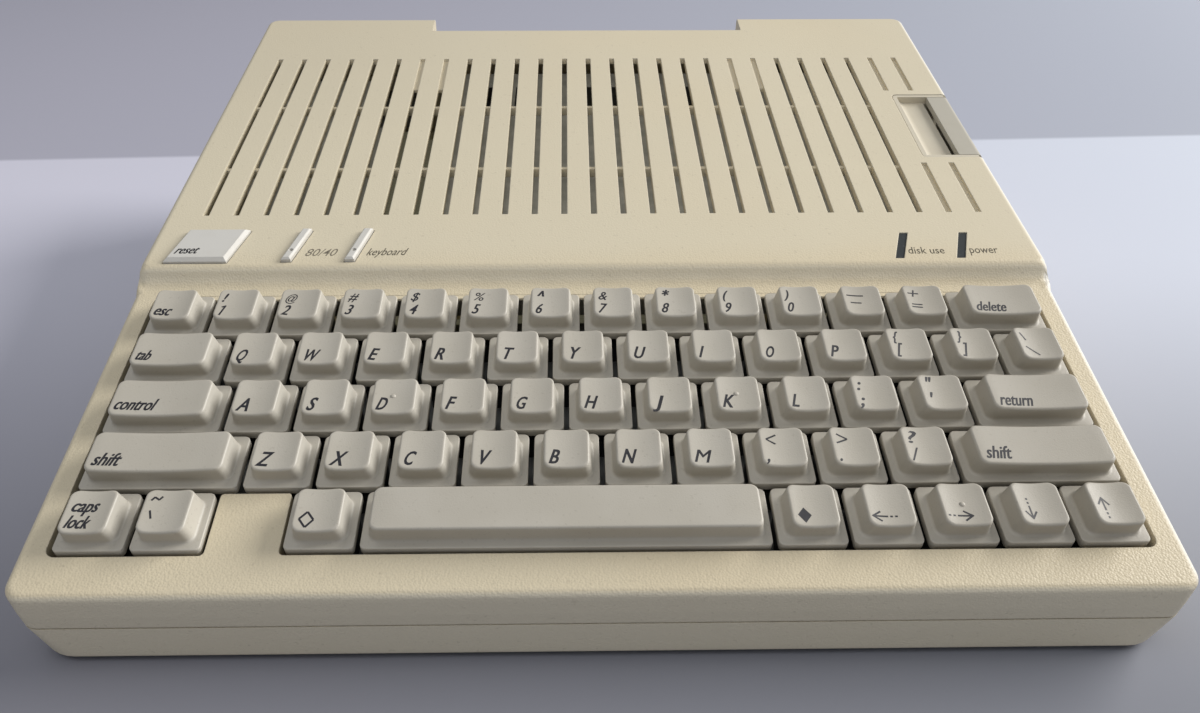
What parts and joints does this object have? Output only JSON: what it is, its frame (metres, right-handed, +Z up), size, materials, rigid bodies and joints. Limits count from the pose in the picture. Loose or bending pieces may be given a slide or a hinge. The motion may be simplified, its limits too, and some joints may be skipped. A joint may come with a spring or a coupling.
{
  "type": "home computer",
  "caption": "Wedge-shaped portable home computer standing on its folded-down handle, with a full keyboard, a vent deck, small slanted controls and a disk drive slot in its right side.",
  "frame": {"origin": "centre of the footprint, on the surface that the front feet and the handle stand on", "axes": "+X to the right as the user sits at it, +Y to the rear, +Z up; the case itself is tilted 7.1 degrees about X, rear up, because it stands on its handle"},
  "size_m": [0.2922, 0.3042, 0.0946],
  "materials": {
    "case": "fine moulded grain, slightly aged",
    "bezel": "satin moulded",
    "keycap": "fine matt texture",
    "button": "matt",
    "dark_plastic": "satin",
    "window": "smoked",
    "steel": "bright",
    "plate": "dull sheet",
    "board": "solder mask",
    "cable": "satin",
    "carriage": "matt",
    "ports": "satin",
    "rubber": "matt"
  },
  "bodies": {
    "case": {"upper_case": "case", "lower_case": "case", "case_screws": "steel", "rubber_feet": "rubber", "pivot_pins": "steel", "key_plate": "plate", "key_switches": "dark_plastic", "keyboard_board": "board", "main_board": "board", "board_chips": "dark_plastic", "ribbon_cables": "cable", "voltage_converter": "plate", "speaker": "dark_plastic", "audio_board": "board", "switch_board": "board", "lamp_board": "board", "lamp_windows": "window", "drive_frame": "plate", "drive_cover": "plate", "drive_motor": "dark_plastic", "carriage_rails": "steel", "head_stepper": "dark_plastic", "latch_bezel": "bezel", "rear_ports": "ports", "power_switch": "dark_plastic"},
    "handle": {"handle": "case"},
    "volume_wheel": {"volume_wheel": "dark_plastic"},
    "reset_button": {"reset_button": "button"},
    "columns_switch": {"columns_switch": "button"},
    "keyboard_switch": {"keyboard_switch": "button"},
    "drive_spindle": {"drive_spindle": "steel"},
    "clamp_arm": {"clamp_arm": "steel"},
    "head_carriage": {"head_carriage": "carriage"},
    "latch_lever": {"latch_lever": "bezel"},
    "power_rocker": {"power_rocker": "dark_plastic"},
    "key_escape": {"key_escape": "keycap"},
    "keys_numbers_left": {"keys_numbers_left": "keycap"},
    "keys_numbers_right": {"keys_numbers_right": "keycap"},
    "key_delete": {"key_delete": "keycap"},
    "key_tab": {"key_tab": "keycap"},
    "keys_upper_left": {"keys_upper_left": "keycap"},
    "keys_upper_right": {"keys_upper_right": "keycap"},
    "key_backslash": {"key_backslash": "keycap"},
    "key_control": {"key_control": "keycap"},
    "keys_home_left": {"keys_home_left": "keycap"},
    "keys_home_right": {"keys_home_right": "keycap"},
    "key_return": {"key_return": "keycap"},
    "key_left_shift": {"key_left_shift": "keycap"},
    "keys_lower_left": {"keys_lower_left": "keycap"},
    "keys_lower_right": {"keys_lower_right": "keycap"},
    "key_right_shift": {"key_right_shift": "keycap"},
    "key_caps_lock": {"key_caps_lock": "keycap"},
    "key_accent": {"key_accent": "keycap"},
    "key_open_symbol": {"key_open_symbol": "keycap"},
    "space_bar": {"space_bar": "keycap"},
    "key_solid_symbol": {"key_solid_symbol": "keycap"},
    "key_arrow_left": {"key_arrow_left": "keycap"},
    "key_arrow_right": {"key_arrow_right": "keycap"},
    "key_arrow_down": {"key_arrow_down": "keycap"},
    "key_arrow_up": {"key_arrow_up": "keycap"}
  },
  "joints": [
    {"name": "handle_fold", "type": "hinge", "parent": "case", "child": "handle", "pos_m": [0, 0.14525, 0.04709], "axis": [1, 0, 0], "range_deg": [0, 196]},
    {"name": "latch_open", "type": "hinge", "parent": "case", "child": "latch_lever", "pos_m": [0.13105, 0.04923, 0.06032], "axis": [0, -0.9923, -0.1236], "range_deg": [0, 34]},
    {"name": "clamp_lift", "type": "hinge", "parent": "case", "child": "clamp_arm", "pos_m": [0.11005, 0.04948, 0.05834], "axis": [0, 0.9923, 0.1236], "range_deg": [0, 6.8]},
    {"name": "spindle_turn", "type": "hinge", "parent": "case", "child": "drive_spindle", "pos_m": [0.07205, 0.05096, 0.04643], "axis": [0, -0.1236, 0.9923], "continuous": true},
    {"name": "head_travel", "type": "slide", "parent": "case", "child": "head_carriage", "axis": [1, 0, 0], "range_m": [0, 0.0226]},
    {"name": "volume_turn", "type": "hinge", "parent": "case", "child": "volume_wheel", "pos_m": [-0.13695, -0.02558, 0.03529], "axis": [0, -0.1236, 0.9923], "range_deg": [-140, 140]},
    {"name": "power_rock", "type": "hinge", "parent": "case", "child": "power_rocker", "pos_m": [-0.125, 0.14704, 0.05739], "axis": [1, 0, 0], "range_deg": [0, 16]},
    {"name": "reset_press", "type": "slide", "parent": "case", "child": "reset_button", "axis": [0, 0.1868, -0.9824], "range_m": [0, 0.002], "stiffness_N_per_m": 300, "springref_m": -0.001},
    {"name": "columns_press", "type": "slide", "parent": "case", "child": "columns_switch", "axis": [0, 0.1868, -0.9824], "range_m": [0, 0.002]},
    {"name": "keyboard_press", "type": "slide", "parent": "case", "child": "keyboard_switch", "axis": [0, 0.1868, -0.9824], "range_m": [0, 0.002]},
    {"name": "key_escape_press", "type": "slide", "parent": "case", "child": "key_escape", "axis": [0, 0.2487, -0.9686], "range_m": [0, 0.0036], "stiffness_N_per_m": 150, "springref_m": -0.0015},
    {"name": "keys_numbers_left_press", "type": "slide", "parent": "case", "child": "keys_numbers_left", "axis": [0, 0.2487, -0.9686], "range_m": [0, 0.0036], "stiffness_N_per_m": 900, "springref_m": -0.0015},
    {"name": "keys_numbers_right_press", "type": "slide", "parent": "case", "child": "keys_numbers_right", "axis": [0, 0.2487, -0.9686], "range_m": [0, 0.0036], "stiffness_N_per_m": 900, "springref_m": -0.0015},
    {"name": "key_delete_press", "type": "slide", "parent": "case", "child": "key_delete", "axis": [0, 0.2487, -0.9686], "range_m": [0, 0.0036], "stiffness_N_per_m": 150, "springref_m": -0.0015},
    {"name": "key_tab_press", "type": "slide", "parent": "case", "child": "key_tab", "axis": [0, 0.2487, -0.9686], "range_m": [0, 0.0036], "stiffness_N_per_m": 150, "springref_m": -0.0015},
    {"name": "keys_upper_left_press", "type": "slide", "parent": "case", "child": "keys_upper_left", "axis": [0, 0.2487, -0.9686], "range_m": [0, 0.0036], "stiffness_N_per_m": 900, "springref_m": -0.0015},
    {"name": "keys_upper_right_press", "type": "slide", "parent": "case", "child": "keys_upper_right", "axis": [0, 0.2487, -0.9686], "range_m": [0, 0.0036], "stiffness_N_per_m": 900, "springref_m": -0.0015},
    {"name": "key_backslash_press", "type": "slide", "parent": "case", "child": "key_backslash", "axis": [0, 0.2487, -0.9686], "range_m": [0, 0.0036], "stiffness_N_per_m": 150, "springref_m": -0.0015},
    {"name": "key_control_press", "type": "slide", "parent": "case", "child": "key_control", "axis": [0, 0.2487, -0.9686], "range_m": [0, 0.0036], "stiffness_N_per_m": 150, "springref_m": -0.0015},
    {"name": "keys_home_left_press", "type": "slide", "parent": "case", "child": "keys_home_left", "axis": [0, 0.2487, -0.9686], "range_m": [0, 0.0036], "stiffness_N_per_m": 750, "springref_m": -0.0015},
    {"name": "keys_home_right_press", "type": "slide", "parent": "case", "child": "keys_home_right", "axis": [0, 0.2487, -0.9686], "range_m": [0, 0.0036], "stiffness_N_per_m": 900, "springref_m": -0.0015},
    {"name": "key_return_press", "type": "slide", "parent": "case", "child": "key_return", "axis": [0, 0.2487, -0.9686], "range_m": [0, 0.0036], "stiffness_N_per_m": 150, "springref_m": -0.0015},
    {"name": "key_left_shift_press", "type": "slide", "parent": "case", "child": "key_left_shift", "axis": [0, 0.2487, -0.9686], "range_m": [0, 0.0036], "stiffness_N_per_m": 150, "springref_m": -0.0015},
    {"name": "keys_lower_left_press", "type": "slide", "parent": "case", "child": "keys_lower_left", "axis": [0, 0.2487, -0.9686], "range_m": [0, 0.0036], "stiffness_N_per_m": 750, "springref_m": -0.0015},
    {"name": "keys_lower_right_press", "type": "slide", "parent": "case", "child": "keys_lower_right", "axis": [0, 0.2487, -0.9686], "range_m": [0, 0.0036], "stiffness_N_per_m": 750, "springref_m": -0.0015},
    {"name": "key_right_shift_press", "type": "slide", "parent": "case", "child": "key_right_shift", "axis": [0, 0.2487, -0.9686], "range_m": [0, 0.0036], "stiffness_N_per_m": 150, "springref_m": -0.0015},
    {"name": "key_caps_lock_press", "type": "slide", "parent": "case", "child": "key_caps_lock", "axis": [0, 0.2487, -0.9686], "range_m": [0, 0.0036], "stiffness_N_per_m": 150, "springref_m": -0.0015},
    {"name": "key_accent_press", "type": "slide", "parent": "case", "child": "key_accent", "axis": [0, 0.2487, -0.9686], "range_m": [0, 0.0036], "stiffness_N_per_m": 150, "springref_m": -0.0015},
    {"name": "key_open_symbol_press", "type": "slide", "parent": "case", "child": "key_open_symbol", "axis": [0, 0.2487, -0.9686], "range_m": [0, 0.0036], "stiffness_N_per_m": 150, "springref_m": -0.0015},
    {"name": "space_bar_press", "type": "slide", "parent": "case", "child": "space_bar", "axis": [0, 0.2487, -0.9686], "range_m": [0, 0.0036], "stiffness_N_per_m": 300, "springref_m": -0.0015},
    {"name": "key_solid_symbol_press", "type": "slide", "parent": "case", "child": "key_solid_symbol", "axis": [0, 0.2487, -0.9686], "range_m": [0, 0.0036], "stiffness_N_per_m": 150, "springref_m": -0.0015},
    {"name": "key_arrow_left_press", "type": "slide", "parent": "case", "child": "key_arrow_left", "axis": [0, 0.2487, -0.9686], "range_m": [0, 0.0036], "stiffness_N_per_m": 150, "springref_m": -0.0015},
    {"name": "key_arrow_right_press", "type": "slide", "parent": "case", "child": "key_arrow_right", "axis": [0, 0.2487, -0.9686], "range_m": [0, 0.0036], "stiffness_N_per_m": 150, "springref_m": -0.0015},
    {"name": "key_arrow_down_press", "type": "slide", "parent": "case", "child": "key_arrow_down", "axis": [0, 0.2487, -0.9686], "range_m": [0, 0.0036], "stiffness_N_per_m": 150, "springref_m": -0.0015},
    {"name": "key_arrow_up_press", "type": "slide", "parent": "case", "child": "key_arrow_up", "axis": [0, 0.2487, -0.9686], "range_m": [0, 0.0036], "stiffness_N_per_m": 150, "springref_m": -0.0015}
  ],
  "couplings": [
    {"joint": "clamp_lift", "follows": "latch_open", "ratio": 0.2}
  ]
}
